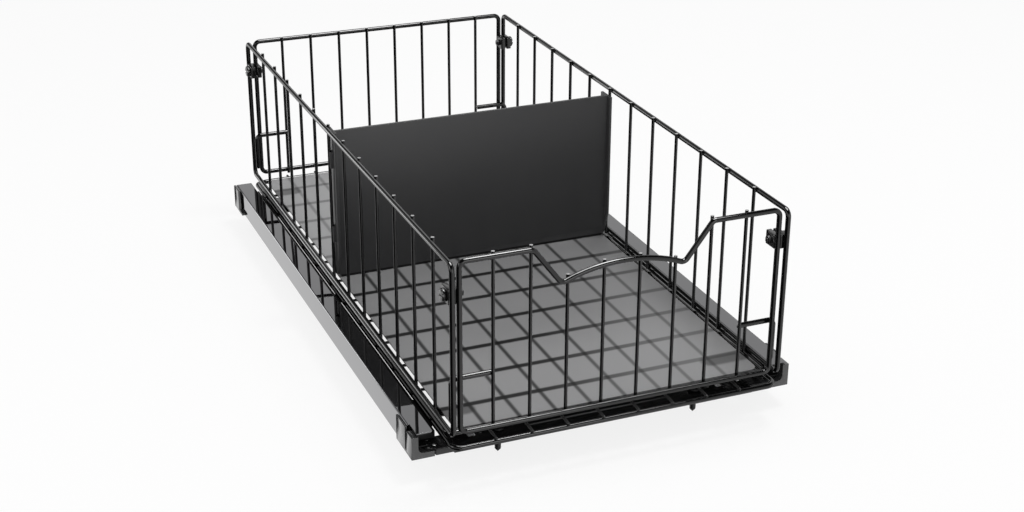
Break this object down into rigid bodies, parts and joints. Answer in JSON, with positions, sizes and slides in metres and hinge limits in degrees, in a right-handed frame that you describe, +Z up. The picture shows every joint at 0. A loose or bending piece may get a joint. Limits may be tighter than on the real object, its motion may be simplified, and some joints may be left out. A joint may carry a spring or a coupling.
{
  "type": "pull-out basket",
  "caption": "Wire pull-out basket on two full-extension cabinet runners, with scooped front panel, clip-on corner knobs, frosted liner mat and removable divider.",
  "frame": {"origin": "centre of the footprint at the level of the mounting screws' tips", "axes": "+Z up, +X to the right seen from the front, the basket pulls out towards -Y"},
  "size_m": [0.3032, 0.544, 0.1749],
  "materials": {
    "black_wire": "gloss black powder coat on steel wire",
    "cover_steel": "mirror-flat dark nickel plate",
    "slide_steel": "black electrocoat on rolled steel",
    "dark_plastic": "satin moulded dark grey",
    "black_sheet": "semi-gloss black",
    "black_plastic": "semi-gloss black",
    "screw_steel": "black phosphate",
    "charcoal_plastic": "satin charcoal",
    "frosted_mat": "frosted translucent grey"
  },
  "bodies": {
    "runners": {"left_rail_cover": "cover_steel", "right_rail_cover": "cover_steel", "left_outer_channel": "slide_steel", "right_outer_channel": "slide_steel", "left_front_bracket": "dark_plastic", "right_front_bracket": "dark_plastic", "left_rear_bracket": "dark_plastic", "right_rear_bracket": "dark_plastic", "front_cross_plate": "black_sheet", "back_cross_plate": "black_sheet", "front_left_mounting_screw": "screw_steel", "front_right_mounting_screw": "screw_steel", "back_left_mounting_screw": "screw_steel", "back_right_mounting_screw": "screw_steel"},
    "left_mid": {"left_mid_channel": "slide_steel"},
    "right_mid": {"right_mid_channel": "slide_steel"},
    "basket": {"left_inner_channel": "slide_steel", "right_inner_channel": "slide_steel", "floor_frame": "black_wire", "left_side_panel": "black_wire", "right_side_panel": "black_wire", "front_panel": "black_wire", "back_panel": "black_wire", "front_left_clip": "black_plastic", "front_right_clip": "black_plastic", "back_left_clip": "black_plastic", "back_right_clip": "black_plastic", "front_left_clip_nut": "screw_steel", "front_right_clip_nut": "screw_steel", "back_left_clip_nut": "screw_steel", "back_right_clip_nut": "screw_steel", "liner_mat": "frosted_mat"},
    "front_left_knob": {"front_left_clip_knob": "black_plastic"},
    "front_right_knob": {"front_right_clip_knob": "black_plastic"},
    "back_left_knob": {"back_left_clip_knob": "black_plastic"},
    "back_right_knob": {"back_right_clip_knob": "black_plastic"},
    "divider": {"divider": "charcoal_plastic"}
  },
  "joints": [
    {"name": "basket_slide", "type": "slide", "parent": "runners", "child": "basket", "axis": [0, -1, 0], "range_m": [0, 0.44]},
    {"name": "left_mid_slide", "type": "slide", "parent": "runners", "child": "left_mid", "axis": [0, -1, 0], "range_m": [0, 0.22]},
    {"name": "right_mid_slide", "type": "slide", "parent": "runners", "child": "right_mid", "axis": [0, -1, 0], "range_m": [0, 0.22]},
    {"name": "front_left_knob_turn", "type": "hinge", "parent": "basket", "child": "front_left_knob", "pos_m": [-0.1298, -0.261, 0.147], "axis": [-1, 0, 0], "continuous": true},
    {"name": "front_right_knob_turn", "type": "hinge", "parent": "basket", "child": "front_right_knob", "pos_m": [0.1298, -0.261, 0.147], "axis": [1, 0, 0], "continuous": true},
    {"name": "back_left_knob_turn", "type": "hinge", "parent": "basket", "child": "back_left_knob", "pos_m": [-0.1298, 0.261, 0.147], "axis": [-1, 0, 0], "continuous": true},
    {"name": "back_right_knob_turn", "type": "hinge", "parent": "basket", "child": "back_right_knob", "pos_m": [0.1298, 0.261, 0.147], "axis": [1, 0, 0], "continuous": true},
    {"name": "divider_lift", "type": "slide", "parent": "basket", "child": "divider", "axis": [0, 0, 1], "range_m": [0, 0.135]}
  ],
  "couplings": [
    {"joint": "left_mid_slide", "follows": "basket_slide", "ratio": 0.5},
    {"joint": "right_mid_slide", "follows": "basket_slide", "ratio": 0.5}
  ]
}
